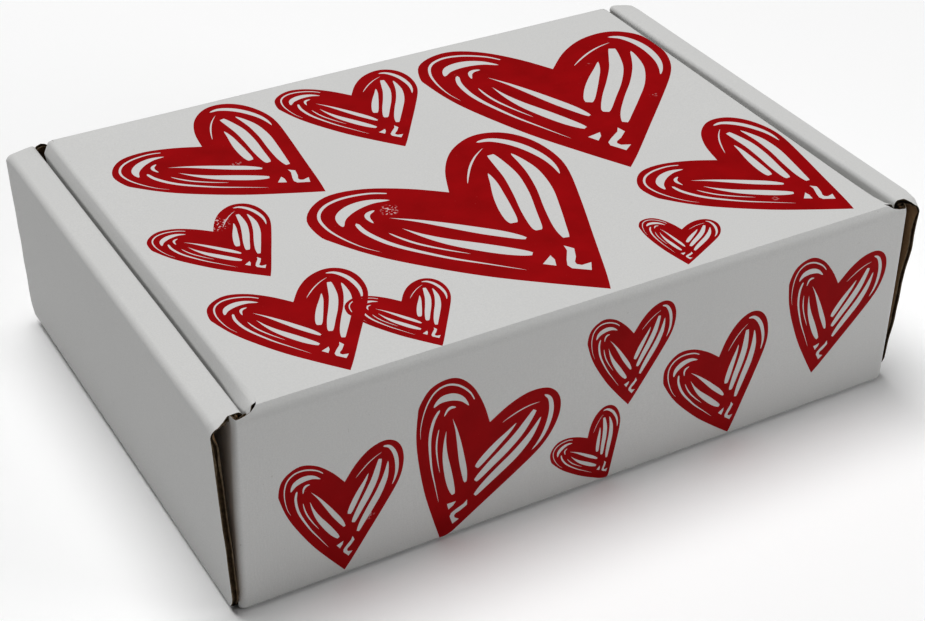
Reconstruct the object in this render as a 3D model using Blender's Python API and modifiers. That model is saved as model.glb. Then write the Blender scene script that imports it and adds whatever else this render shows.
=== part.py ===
"""A gift box folded from one sheet of corrugated board, shut: tray, hinged lid and tuck flap.

Units are metres, +Z is up. The origin is at the middle of the underside. The wall that carries
the lid's hinge faces -Y, the wall that takes the tuck flap faces +Y, and the two double walls,
rolled over at the top, face -X and +X. Every stretch of board starts as an open sheet, its outer
liner, which Solidify thickens inward.
"""

import math

import bmesh
import bpy
from mathutils import Vector

# Board, and the clearances between its layers
BOARD = 0.0016
LAYER_GAP = 0.0003
EAR_GAP = 0.0006
TUCK_GAP = 0.0005
PANEL_GAP = 0.0005
FLAP_SIDE_GAP = 0.0018
TUCK_CLEARANCE = 0.0004

# Outside of the shut box: the hinge wall's length, front to back, and the rolled walls' height
LENGTH = 0.190
DEPTH = 0.136
HEIGHT = 0.0555
LID_RISE = 0.0010

# Outer radii of the creases
BASE_RADIUS = 0.0020
END_RADIUS = 0.0020
ROLL_RADIUS = 0.0024
LID_RADIUS = 0.0028

# Double side walls, and the tabs that lock them into the bottom
ROLL_WIDTH = 0.0086
WALL_FLARE = 0.0024
TAB_WIDTH = 0.020
TAB_SPACING = 0.070

# Flaps that fold inside
DUST_FLAP_LENGTH = 0.045
DUST_FLAP_ROUNDING = 0.008
EAR_DEPTH = 0.028
EAR_SLANT = 0.008
EAR_NEAR_INSET = 0.0010
EAR_FAR_INSET = 0.0055
CREASE_INSET = 0.0010
TUCK_LENGTH = 0.036
TUCK_TAPER = 0.0025
TUCK_ROUNDING = 0.009

# How finely creases and rounded outlines are cut
ARC_STEP = math.radians(12)
ROUNDING_SEGMENTS = 5
CUT_STEP = math.radians(2)
JOIN_DISTANCE = 0.00001

# Colours of the white liner, and of the brown board seen at cut edges and inside
LINER_COLOUR = (0.80, 0.80, 0.79, 1.0)
KRAFT_COLOUR = (0.34, 0.22, 0.12, 1.0)
BOARD_ROUGHNESS = 0.75

X_AXIS = Vector((1, 0, 0))
Y_AXIS = Vector((0, 1, 0))
Z_AXIS = Vector((0, 0, 1))

# Places worked out from the sizes above
LID_TOP = HEIGHT + LID_RISE
BASE_HALF = LENGTH / 2 + LAYER_GAP + BOARD
WALL_TOP_HALF = BASE_HALF + WALL_FLARE
INNER_HALF = WALL_TOP_HALF - ROLL_WIDTH
INNER_PANEL_TOP = HEIGHT - ROLL_RADIUS
INNER_PANEL_END = DEPTH / 2 - BOARD - PANEL_GAP
BASE_FOLD_Y = DEPTH / 2 - BASE_RADIUS
END_FOLD_X = LENGTH / 2 - END_RADIUS
SLOT_LINES = (INNER_HALF - LAYER_GAP, INNER_HALF + BOARD + LAYER_GAP)
DUST_FLAP_END = DEPTH / 2 - DUST_FLAP_LENGTH
END_WALL_TOP = INNER_PANEL_TOP - EAR_GAP
EAR_HALF = INNER_HALF - EAR_GAP
EAR_FOLD_X = EAR_HALF - LID_RADIUS
CREASE_HALF = EAR_HALF - CREASE_INSET
TUCK_HALF = EAR_HALF - BOARD - FLAP_SIDE_GAP
TUCK_FACE_Y = DEPTH / 2 - BOARD - TUCK_GAP
EAR_NEAR_Y = -DEPTH / 2 + LID_RADIUS + EAR_NEAR_INSET
EAR_FAR_Y = TUCK_FACE_Y - EAR_FAR_INSET
HINGE_CENTRE = Vector((-DEPTH / 2 + LID_RADIUS, LID_TOP - LID_RADIUS))
TUCK_CENTRE = Vector((TUCK_FACE_Y - LID_RADIUS, LID_TOP - LID_RADIUS))
# The crease keeps its length when it opens out flat, because the lid turns about this point
HINGE_AXIS_INSET = (1 - math.pi / 4) * LID_RADIUS
HINGE_AXIS = Vector((-DEPTH / 2 + HINGE_AXIS_INSET, LID_TOP - HINGE_AXIS_INSET))
# Half a layer's gap to each side of the hinge crease's mitre, measured at the board's inner face
MITRE_GAP = math.asin(LAYER_GAP / 2 / (LID_RADIUS - BOARD))


def clear_scene():
    for obj in list(bpy.data.objects):
        bpy.data.objects.remove(obj, do_unlink=True)


def board_material(name, colour):
    material = bpy.data.materials.new(name)
    material.use_nodes = True
    shader = material.node_tree.nodes["Principled BSDF"]
    shader.inputs["Base Color"].default_value = colour
    shader.inputs["Roughness"].default_value = BOARD_ROUGHNESS
    shader.inputs["Metallic"].default_value = 0.0
    return material


def arc(centre, radius, first, last):
    """Points of an arc between two angles, divided evenly."""
    steps = max(2, math.ceil(abs(last - first) / ARC_STEP))
    angles = [first + (last - first) * step / steps for step in range(steps + 1)]
    return [centre + radius * Vector((math.cos(angle), math.sin(angle))) for angle in angles]


def arc_to_cut(centre, radius, first, last):
    """An arc ending at a cut. Its short last step squares the cut to the board."""
    almost = last - math.copysign(CUT_STEP, last - first)
    end = centre + radius * Vector((math.cos(last), math.sin(last)))
    return arc(centre, radius, first, almost) + [end]


def rounded(corners):
    """A path through corners given as (u, v, radius), each turned on an arc of its radius."""
    places = [Vector(corner[:2]) for corner in corners]
    path = [places[0]]
    for before, here, after, corner in zip(places, places[1:], places[2:], corners[1:]):
        radius = corner[2]
        back = (before - here).normalized()
        ahead = (after - here).normalized()
        half_turn = (math.pi - back.angle(ahead)) / 2
        reach = radius * math.tan(half_turn)
        centre = here + (back + ahead).normalized() * radius / math.cos(half_turn)
        start = here + back * reach - centre
        end = here + ahead * reach - centre
        first = math.atan2(start.y, start.x)
        turn = math.remainder(math.atan2(end.y, end.x) - first, 2 * math.pi)
        path += arc(centre, radius, first, first + turn)
    path.append(places[-1])
    return path


def mirrored(values):
    return sorted({-value for value in values} | set(values))


def up_to(lines, limit):
    """The lines within a limit to both sides of the middle, with those at the limit."""
    return [line for line in lines if abs(line) < limit + JOIN_DISTANCE]


def inside(lines, limit):
    """The lines within a limit to both sides of the middle, without those at the limit."""
    return [line for line in lines if abs(line) < limit - JOIN_DISTANCE]


def sweep(bm, section, direction, stations):
    """An open sheet: a chain of edges through the section, extruded to each station in turn."""
    verts = [bm.verts.new(point + direction * stations[0]) for point in section]
    edges = [bm.edges.new(pair) for pair in zip(verts, verts[1:])]
    for before, after in zip(stations, stations[1:]):
        made = bmesh.ops.extrude_edge_only(bm, edges=edges)["geom"]
        verts = [part for part in made if isinstance(part, bmesh.types.BMVert)]
        edges = [part for part in made if isinstance(part, bmesh.types.BMEdge)]
        bmesh.ops.translate(bm, verts=verts, vec=direction * (after - before))


def round_corners(bm, is_corner, radius):
    """Rounds the sheet's outline at the vertices that is_corner picks."""
    corners = [vert for vert in bm.verts if is_corner(vert.co)]
    bmesh.ops.bevel(
        bm,
        geom=corners,
        offset=radius,
        segments=ROUNDING_SEGMENTS,
        profile=0.5,
        affect="VERTICES",
    )


def join_strips(bm):
    bmesh.ops.remove_doubles(bm, verts=bm.verts, dist=JOIN_DISTANCE)


def board_object(name, bm, outward, pivot, collection):
    """Turns the joined sheet's liner outward and thickens it inward by one board."""
    bmesh.ops.recalc_face_normals(bm, faces=bm.faces)
    if sum(face.normal.dot(outward) * face.calc_area() for face in bm.faces) < 0:
        bmesh.ops.reverse_faces(bm, faces=bm.faces)
    bmesh.ops.translate(bm, verts=bm.verts, vec=-pivot)
    mesh = bpy.data.meshes.new(name)
    bm.to_mesh(mesh)
    bm.free()
    mesh.materials.append(board_material(name + "_liner", LINER_COLOUR))
    mesh.materials.append(board_material(name + "_kraft", KRAFT_COLOUR))
    obj = bpy.data.objects.new(name, mesh)
    obj.location = pivot
    collection.objects.link(obj)
    solidify = obj.modifiers.new("Board", "SOLIDIFY")
    solidify.thickness = BOARD
    solidify.offset = -1.0
    solidify.use_even_offset = True
    solidify.material_offset = 1
    solidify.material_offset_rim = 1
    return obj


def tab_lines(margin):
    """The lines across Y where the locking tabs, widened by a margin, start and end."""
    reach = TAB_WIDTH / 2 + margin
    return mirrored([TAB_SPACING / 2 - reach, TAB_SPACING / 2 + reach])


def is_slot(face):
    """Whether a cell of the bottom lies in one of the slots that the tabs go through."""
    middle = face.calc_center_median()
    across = SLOT_LINES[0] < abs(middle.x) < SLOT_LINES[1]
    along = abs(abs(middle.y) - TAB_SPACING / 2) < TAB_WIDTH / 2 + LAYER_GAP
    return across and along and middle.z < JOIN_DISTANCE


def add_bottom(bm, reach, x_lines, y_lines):
    """The bottom, between the base creases at a reach to each side, with its slots cut out."""
    lines = [-reach, *inside(x_lines, reach), reach]
    flat = [Vector((x, 0, 0)) for x in lines]
    sweep(bm, flat, Y_AXIS, up_to(y_lines, BASE_FOLD_Y))
    slots = [face for face in bm.faces if is_slot(face)]
    bmesh.ops.delete(bm, geom=slots, context="FACES")


def base_crease():
    """A side wall's base crease, from the bottom up into the leaning outer panel."""
    return rounded([(0, 0, 0), (BASE_HALF, 0, BASE_RADIUS), (WALL_TOP_HALF, HEIGHT, 0)])[1:-1]


def roll(start):
    """The outer panel up from a start, and the roll that takes it over to the inner panel."""
    crest = [(WALL_TOP_HALF, HEIGHT, ROLL_RADIUS), (INNER_HALF, HEIGHT, ROLL_RADIUS)]
    return rounded([(*start, 0), *crest, (INNER_HALF, 0, 0)])[:-1]


def standing(path, side):
    return [Vector((side * point.x, 0, point.y)) for point in path]


def add_rolled_wall(bm, side, crease, y_lines):
    """One double side wall: base crease, outer panel, roll, inner panel and its tabs."""
    sweep(bm, standing(crease, side), Y_AXIS, up_to(y_lines, BASE_FOLD_Y))
    sweep(bm, standing(roll(crease[-1]), side), Y_AXIS, y_lines)
    heights = [INNER_PANEL_TOP, BOARD + LAYER_GAP, LAYER_GAP]
    inner = [Vector((side * INNER_HALF, 0, z)) for z in heights]
    sweep(bm, inner[:2], Y_AXIS, up_to(y_lines, INNER_PANEL_END))
    for middle in (-TAB_SPACING / 2, TAB_SPACING / 2):
        sweep(bm, inner[1:], Y_AXIS, [middle - TAB_WIDTH / 2, middle + TAB_WIDTH / 2])


def taper_rolls(bm):
    """Draws in both ends of each roll, past the middle of its crest, to the inner panel's ends."""
    crest = WALL_TOP_HALF - ROLL_WIDTH / 2
    for vert in bm.verts:
        on_roll = abs(vert.co.x) < crest and vert.co.z > INNER_PANEL_TOP - JOIN_DISTANCE
        if on_roll and abs(vert.co.y) > INNER_PANEL_END:
            vert.co.y = math.copysign(INNER_PANEL_END, vert.co.y)


def add_end_wall(bm, facing, x_lines):
    """One end wall with its two dust flaps, and the crease that joins it to the bottom."""
    plan = rounded(
        [
            (-LENGTH / 2, DUST_FLAP_END, 0),
            (-LENGTH / 2, DEPTH / 2, END_RADIUS),
            (LENGTH / 2, DEPTH / 2, END_RADIUS),
            (LENGTH / 2, DUST_FLAP_END, 0),
        ]
    )
    flat = [Vector((x, DEPTH / 2)) for x in inside(x_lines, END_FOLD_X)]
    middle = len(plan) // 2
    plan[middle:middle] = flat
    wall = [Vector((point.x, facing * point.y, 0)) for point in plan]
    sweep(bm, wall, Z_AXIS, [BASE_RADIUS, END_WALL_TOP])
    centre = Vector((BASE_FOLD_Y, BASE_RADIUS))
    fold = arc(centre, BASE_RADIUS, -math.pi / 2, 0)
    crease = [Vector((0, facing * point.x, point.y)) for point in fold]
    sweep(bm, crease, X_AXIS, up_to(x_lines, END_FOLD_X))


def add_hinge_crease(bm, x_lines):
    """The hinge wall's top between its corner notches, and its half of the lid's crease."""
    half = arc_to_cut(HINGE_CENTRE, LID_RADIUS, math.pi, math.pi * 3 / 4 + MITRE_GAP)
    path = [Vector((-DEPTH / 2, END_WALL_TOP))] + half
    strip = [Vector((0, point.x, point.y)) for point in path]
    sweep(bm, strip, X_AXIS, up_to(x_lines, CREASE_HALF))


def is_dust_flap_corner(place):
    on_flap = abs(abs(place.x) - LENGTH / 2) < JOIN_DISTANCE
    return on_flap and abs(abs(place.y) - DUST_FLAP_END) < JOIN_DISTANCE


def make_tray(collection):
    bm = bmesh.new()
    x_lines = mirrored([CREASE_HALF, END_FOLD_X, *SLOT_LINES])
    ends = mirrored([DEPTH / 2, BASE_FOLD_Y, INNER_PANEL_END])
    y_lines = sorted(ends + tab_lines(0) + tab_lines(LAYER_GAP))
    crease = base_crease()
    add_bottom(bm, crease[0].x, x_lines, y_lines)
    for side in (-1, 1):
        add_rolled_wall(bm, side, crease, y_lines)
    taper_rolls(bm)
    for facing in (-1, 1):
        add_end_wall(bm, facing, x_lines)
    add_hinge_crease(bm, x_lines)
    join_strips(bm)
    round_corners(bm, is_dust_flap_corner, DUST_FLAP_ROUNDING)
    return board_object("tray", bm, -Z_AXIS, Vector((0, 0, 0)), collection)


def add_ear(bm, side):
    """One side ear: its crease along the lid's edge, and the ear, narrower at its free edge."""
    corner = rounded(
        [
            (0, LID_TOP, 0),
            (EAR_HALF, LID_TOP, LID_RADIUS),
            (EAR_HALF, LID_TOP - EAR_DEPTH, 0),
        ]
    )
    sweep(bm, standing(corner[1:], side), Y_AXIS, [EAR_NEAR_Y, EAR_FAR_Y])


def slant_ears(bm):
    middle = (EAR_NEAR_Y + EAR_FAR_Y) / 2
    for vert in bm.verts:
        if vert.co.z < LID_TOP - EAR_DEPTH + JOIN_DISTANCE:
            vert.co.y -= math.copysign(EAR_SLANT, vert.co.y - middle)


def make_lid(collection, tilt):
    bm = bmesh.new()
    x_lines = mirrored([CREASE_HALF, EAR_FOLD_X, TUCK_HALF])
    near_arc = arc_to_cut(HINGE_CENTRE, LID_RADIUS, math.pi / 2, math.pi * 3 / 4 - MITRE_GAP)
    far_arc = arc_to_cut(TUCK_CENTRE, LID_RADIUS, math.pi / 2, -tilt)
    near = [Vector((EAR_NEAR_Y, LID_TOP))] + near_arc
    middle = [Vector((EAR_NEAR_Y, LID_TOP)), Vector((EAR_FAR_Y, LID_TOP))]
    far = [Vector((EAR_FAR_Y, LID_TOP))] + far_arc
    for path, half in ((near, CREASE_HALF), (middle, EAR_FOLD_X), (far, TUCK_HALF)):
        strip = [Vector((0, point.x, point.y)) for point in path]
        sweep(bm, strip, X_AXIS, up_to(x_lines, half))
    for side in (-1, 1):
        add_ear(bm, side)
    join_strips(bm)
    slant_ears(bm)
    return board_object("lid", bm, Z_AXIS, Vector((0, *HINGE_AXIS)), collection)


def tuck_end(tilt, start):
    """The outer corner of the tuck flap's free edge, a start and a length down from its crease."""
    outward = Vector((math.cos(tilt), -math.sin(tilt)))
    down = Vector((-math.sin(tilt), -math.cos(tilt)))
    return TUCK_CENTRE + outward * LID_RADIUS + down * (start + TUCK_LENGTH)


def tuck_tilt():
    """The least inward tilt that lets the flap's end swing out past the tuck-side wall."""
    wall_top = Vector((DEPTH / 2 - BOARD, END_WALL_TOP))
    allowed = (wall_top - HINGE_AXIS).length - TUCK_CLEARANCE
    low, high = 0.0, math.pi / 3
    for _ in range(40):
        middle = (low + high) / 2
        if (tuck_end(middle, LAYER_GAP) - HINGE_AXIS).length > allowed:
            low = middle
        else:
            high = middle
    return high


def make_tuck_flap(collection, tilt):
    bm = bmesh.new()
    ends = [tuck_end(tilt, LAYER_GAP - TUCK_LENGTH), tuck_end(tilt, LAYER_GAP)]
    strip = [Vector((0, point.x, point.y)) for point in ends]
    sweep(bm, strip, X_AXIS, [-TUCK_HALF, TUCK_HALF])
    free_edge = [vert for vert in bm.verts if vert.co.z < strip[1].z + JOIN_DISTANCE]
    for vert in free_edge:
        vert.co.x -= math.copysign(TUCK_TAPER, vert.co.x)
    free_z = strip[1].z
    round_corners(bm, lambda place: place.z < free_z + JOIN_DISTANCE, TUCK_ROUNDING)
    outward = Vector((0, math.cos(tilt), -math.sin(tilt)))
    return board_object("tuck_flap", bm, outward, Vector((0, *TUCK_CENTRE)), collection)


def main():
    clear_scene()
    collection = bpy.data.collections.new("cardboard_gift_box")
    bpy.context.scene.collection.children.link(collection)
    tilt = tuck_tilt()
    make_tray(collection)
    lid = make_lid(collection, tilt)
    flap = make_tuck_flap(collection, tilt)
    flap.location -= lid.location
    flap.parent = lid


main()
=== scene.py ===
"""The looks of the gift box: fluted white board with printed hearts, soft creases and raw edges.

Shapes are worked out in millimetres and become metres when a mesh is made. Each stretch of board
is drawn flat, in its own (u, v), as it is on the die-cut blank, cut there into faces, folded into
place and then given its thickness. +Z is up and the wall that carries the lid's hinge faces -Y.
"""

import math

import bmesh
import bpy
from mathutils import Matrix, Vector, noise
from mathutils.geometry import delaunay_2d_cdt
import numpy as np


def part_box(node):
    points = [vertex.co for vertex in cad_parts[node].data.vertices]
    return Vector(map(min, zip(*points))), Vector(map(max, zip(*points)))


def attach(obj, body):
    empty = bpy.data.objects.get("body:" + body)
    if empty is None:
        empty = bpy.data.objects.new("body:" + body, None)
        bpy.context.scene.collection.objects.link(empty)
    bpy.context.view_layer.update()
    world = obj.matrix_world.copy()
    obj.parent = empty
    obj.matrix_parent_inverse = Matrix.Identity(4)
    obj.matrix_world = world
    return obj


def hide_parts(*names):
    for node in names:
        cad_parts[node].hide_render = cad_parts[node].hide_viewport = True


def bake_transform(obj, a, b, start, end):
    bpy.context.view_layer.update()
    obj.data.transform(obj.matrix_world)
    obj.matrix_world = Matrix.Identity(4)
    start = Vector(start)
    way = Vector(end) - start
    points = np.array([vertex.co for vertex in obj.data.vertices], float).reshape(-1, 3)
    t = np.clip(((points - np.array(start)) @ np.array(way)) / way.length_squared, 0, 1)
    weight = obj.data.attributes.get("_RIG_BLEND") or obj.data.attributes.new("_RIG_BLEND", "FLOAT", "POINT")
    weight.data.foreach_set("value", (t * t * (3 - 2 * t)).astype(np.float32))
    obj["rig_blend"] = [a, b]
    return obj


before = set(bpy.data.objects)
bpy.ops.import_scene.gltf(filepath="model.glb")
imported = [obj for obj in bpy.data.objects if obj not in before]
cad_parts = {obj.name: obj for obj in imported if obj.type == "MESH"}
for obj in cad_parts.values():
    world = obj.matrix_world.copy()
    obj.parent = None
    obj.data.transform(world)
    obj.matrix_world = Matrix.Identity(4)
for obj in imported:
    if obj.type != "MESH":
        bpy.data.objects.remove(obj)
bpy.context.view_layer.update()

MM = 0.001

# The board's makeup, and the clearances between its layers
BOARD = 1.6
LINER = 0.27
LINER_SLOPE = 0.04
LAYER_GAP = 0.3
EAR_GAP = 0.6
EAR_INSET = 0.3
PANEL_GAP = 0.5
FLUTE_PITCH = 3.3
FLUTE_SWING = 0.31
FLUTE_PAPER = 0.2
FLUTE_STEP = 0.3
FLUTE_INSET = 0.12
EDGE_DEPTH = 0.8
SHALLOW_DEPTH = 0.45

# Flutes are drawn where the groove is at least this deep and the board is hardly pinched
FLUTE_DEPTH = 0.4
PINCH_LIMIT = 0.1

# The least cosine by which the way out of the board is lengthened at a corner
MITRE_LIMIT = 0.5

# Sizes read from the frame
TRAY_LOW, TRAY_HIGH = (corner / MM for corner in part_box("tray"))
LID_LOW, LID_HIGH = (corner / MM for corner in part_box("lid"))
FLAP_LOW, FLAP_HIGH = (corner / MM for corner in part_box("tuck_flap"))
DEPTH = TRAY_HIGH.y - TRAY_LOW.y
HEIGHT = TRAY_HIGH.z
LID_TOP = LID_HIGH.z
EAR_HALF = LID_HIGH.x - EAR_INSET
TUCK_HALF = FLAP_HIGH.x
EAR_DEPTH = LID_TOP - LID_LOW.z

# The rest of the box, mostly with the names that its source has
LENGTH = 190.0
BASE_RADIUS = 2.0
END_RADIUS = 1.7
ROLL_RADIUS = 2.4
ROLL_EDGE_RADIUS = 1.7
ROLL_INNER_RADIUS = 1.25
LID_RADIUS = 2.8
ROLL_WIDTH = 8.6
WALL_FLARE = 2.4
TAB_WIDTH = 20.0
TAB_SPACING = 70.0
DUST_FLAP_LENGTH = 45.0
DUST_FLAP_ROUNDING = 8.0
EAR_SLANT = 8.0
TUCK_LENGTH = 36.0
TUCK_TAPER = 2.5
TUCK_ROUNDING = 9.0
TUCK_GAP = 0.5

BASE_HALF = LENGTH / 2 + LAYER_GAP + BOARD
WALL_TOP_HALF = BASE_HALF + WALL_FLARE
INNER_HALF = WALL_TOP_HALF - ROLL_WIDTH
INNER_PANEL_TOP = HEIGHT - ROLL_RADIUS
INNER_PANEL_END = DEPTH / 2 - BOARD - PANEL_GAP
SLOT_LOW = INNER_HALF - LAYER_GAP
SLOT_HIGH = INNER_HALF + BOARD + LAYER_GAP
CORNER_CUT = 1.4
BASE_FOLD_Y = DEPTH / 2 - BASE_RADIUS
CORNER_CUT_Y = BASE_FOLD_Y - CORNER_CUT
END_FOLD_X = LENGTH / 2 - END_RADIUS
DUST_FLAP_END = DEPTH / 2 - DUST_FLAP_LENGTH
END_WALL_TOP = INNER_PANEL_TOP - EAR_GAP
BEVEL_WIDTH = 1.9
BEVEL_DROP = 3.1
BEVEL_RADIUS = 1.6
BEVEL_TOP_X = EAR_HALF - BEVEL_WIDTH
BEVEL_FOOT_Z = LID_TOP - BEVEL_DROP
EAR_FRONT = -65.2
EAR_BACK = 61.0
LID_BEND = 63.1
LID_BACK = 64.2
HINGE_SETBACK = 1.4
HINGE_CURVE = 4.4
HINGE_SLOPE = math.radians(54)
HINGE_CURVE_Z = LID_TOP - HINGE_SETBACK * math.tan(HINGE_SLOPE)
TUCK_FACE_Y = DEPTH / 2 - BOARD - TUCK_GAP
CREASE_Z = LID_TOP - LID_RADIUS
HINGE_CENTRE_Y = -DEPTH / 2 + LID_RADIUS
TUCK_CENTRE_Y = TUCK_FACE_Y - LID_RADIUS

# Pieces of one sheet meet this far outside the arcs of the two creases that move
SEAM_REACH = 0.8
SEAM_HALF = 92.9
HINGE_WALL_SEAM = CREASE_Z - SEAM_REACH
NOTCH_FOOT = 54.9
SHALLOW_HALF = 97.0
HINGE_LID_SEAM = HINGE_CENTRE_Y + SEAM_REACH
TUCK_LID_SEAM = TUCK_CENTRE_Y - SEAM_REACH

# How finely the board is cut
CELL = 4.0
EDGE_CELL = 1.4
CREASE_CELL = 1.0
ARC_STEP = math.radians(8)
CURVE_STEPS = 4
MERGE = 0.004
TANGENT_STEP = 0.01
CDT_EPSILON = 0.0001
SHARP_ANGLE = math.radians(32)

# How the photographed box departs from a true one. First, values at its four corners: front left,
# front right, back left and back right
BASE_LIFT = (0.0, 0.0, 1.6, 0.0)
LID_LIFT = (0.33, -0.12, 0.70, 0.33)
ROLL_LIFT = (0.23, 1.23, -1.15, -0.86)
ROLL_LEAN = (0.44, -1.21, -0.45, 1.02)
INNER_LEAN = (0.4, 0.2, -0.2, 1.9)
ROLL_DROOP = (1.6, 2.8, 1.2, 1.2)
ROLL_SETBACK = (0.0, 2.6, 0.0, 0.0)

# The droop and the setback: how far each reaches, and the power that shapes it
DROOP_REACH = 5.5
DROOP_START_X = 92.5
DROOP_HEIGHT = 12.0
DROOP_POWER = 3
SETBACK_REACH = 12.0
SETBACK_FOOT = 3.0
SETBACK_POWER = 1.5

# What is alike on both sides. The pinch has a share, then where it starts and where it is full:
# from the front, outward from the roll's inner side, and down from the top
EAR_SPREAD = 0.7
EAR_SPREAD_REACH = 14.0
EAR_RISE = 1.6
EAR_RISE_REACH = 1.5
ROLL_PINCH = 0.65
PINCH_FRONT = (1.5, 0.5)
PINCH_ACROSS = (1.0, 2.5)
PINCH_DOWN = (5.5, 3.0)
FACE_BOW = 0.3
FACE_BOW_POWER = 8
END_LEAN = 0.8
END_LEAN_POWER = 3

# Worn edges and wavy board: how much, and how fine the noise is
CRUSH = 1.3
CRUSH_SCALE = 0.11
FRAY = 0.25
FRAY_SCALE = 0.55
RAGGED = 0.8
RAGGED_SCALE = 0.13
WAVE_HEIGHT = 0.08
WAVE_SCALE = 0.03

# Without a seed, noise_vector would take its offsets from the clock
WAVE_SEED = 3

LINER_SLOT, INK_SLOT, KRAFT_SLOT, EDGE_SLOT, CORE_SLOT = range(5)


class Path:
    """A section of straight runs joined by arcs, read by the length along it."""

    def __init__(self, corners):
        """Corners are (a, b, radius); the first and last are the ends."""
        self.pieces = []
        self.folds = []
        self.length = 0.0
        places = [Vector(corner[:2]) for corner in corners]
        here = places[0]
        for before, corner, after, named in zip(places, places[1:], places[2:], corners[1:]):
            back = (before - corner).normalized()
            ahead = (after - corner).normalized()
            half_turn = (math.pi - back.angle(ahead)) / 2
            reach = named[2] * math.tan(half_turn)
            self.add_line(here, corner + back * reach)
            here = corner + ahead * reach
            if named[2]:
                centre = corner + (back + ahead).normalized() * named[2] / math.cos(half_turn)
                self.add_arc(centre, corner + back * reach, here)
            else:
                self.folds.append(self.length)
        self.add_line(here, places[-1])

    def add_line(self, start, end):
        along = (end - start).normalized()
        self.pieces.append((self.length, lambda distance: start + along * distance))
        self.length += (end - start).length

    def add_arc(self, centre, start, end):
        spoke = start - centre
        first = math.atan2(spoke.y, spoke.x)
        last = math.atan2(end.y - centre.y, end.x - centre.x)
        turn = math.remainder(last - first, 2 * math.pi)
        radius = spoke.length
        sense = math.copysign(1, turn)

        def read(distance):
            angle = first + sense * distance / radius
            return centre + radius * Vector((math.cos(angle), math.sin(angle)))

        self.pieces.append((self.length, read))
        steps = max(2, math.ceil(abs(turn) / ARC_STEP))
        size = abs(turn) * radius
        self.folds += [self.length + size * step / steps for step in range(steps + 1)]
        self.length += size

    def at(self, distance):
        start, read = self.pieces[0]
        for piece in self.pieces:
            if piece[0] <= distance:
                start, read = piece
        return read(distance - start)


def ramp(value, start, end):
    """How far a value has come from start to end, from 0 to 1."""
    return max(0.0, min(1.0, (value - start) / (end - start)))


def spread(low, high, step):
    """Evenly spaced values from low to high, at most a step apart."""
    count = max(1, math.ceil((high - low) / step))
    return [low + (high - low) * index / count for index in range(count + 1)]


def between(stations, step=CELL):
    """The stations, with the gaps between them divided evenly."""
    stations = sorted(stations)
    values = [stations[0]]
    for low, high in zip(stations, stations[1:]):
        if high - low > MERGE:
            values += spread(low, high, step)[1:]
    return values


def mirrored(values):
    return sorted({-value for value in values} | set(values))


def both_sides(half):
    """A closed outline from its right half, which is listed from the middle line round."""
    return half + [(-u, v) for u, v in reversed(half)]


def smooth_line(points):
    """A smooth curve through the points: each span is a cubic, set by the four points around it."""
    points = [Vector(point) for point in points]
    last = len(points) - 1
    curve = []
    for index in range(last):
        before, start = points[max(index - 1, 0)], points[index]
        end, after = points[index + 1], points[min(index + 2, last)]
        for step in range(CURVE_STEPS):
            t = step / CURVE_STEPS
            curve.append(
                0.5 * (2 * start + (end - before) * t)
                + 0.5 * (2 * before - 5 * start + 4 * end - after) * t**2
                + 0.5 * (3 * start - before - 3 * end + after) * t**3
            )
    curve.append(points[-1])
    return curve


def quarter_round(centre, radius, first, last, steps):
    """Points on an arc about a centre, from the first angle to the last."""
    angles = (first + (last - first) * step / steps for step in range(steps + 1))
    return [(centre[0] + radius * math.cos(angle), centre[1] + radius * math.sin(angle))
            for angle in angles]


# Below one, a stroke is fuller than the arch of a sine
STROKE_POWER = 0.7


def brush_stroke(points, width, peak=1.0, start=0.0, end=1.0):
    """The outline of a stroke along a curve, widest where peak says and blunt where it is cut.

    Uncut, a stroke is pointed at both ends. Start and end say which share of it is left.
    """
    line = smooth_line(points)
    last = len(line) - 1
    left, right = [], []
    for index, point in enumerate(line):
        along = (line[min(index + 1, last)] - line[max(index - 1, 0)]).normalized()
        share = start + (end - start) * index / last
        half = width / 2 * max(0.0, math.sin(math.pi * share**peak)) ** STROKE_POWER
        aside = Vector((-along.y, along.x)) * half
        left.append(point + aside)
        right.append(point - aside)
    return left + right[::-1]


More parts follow.
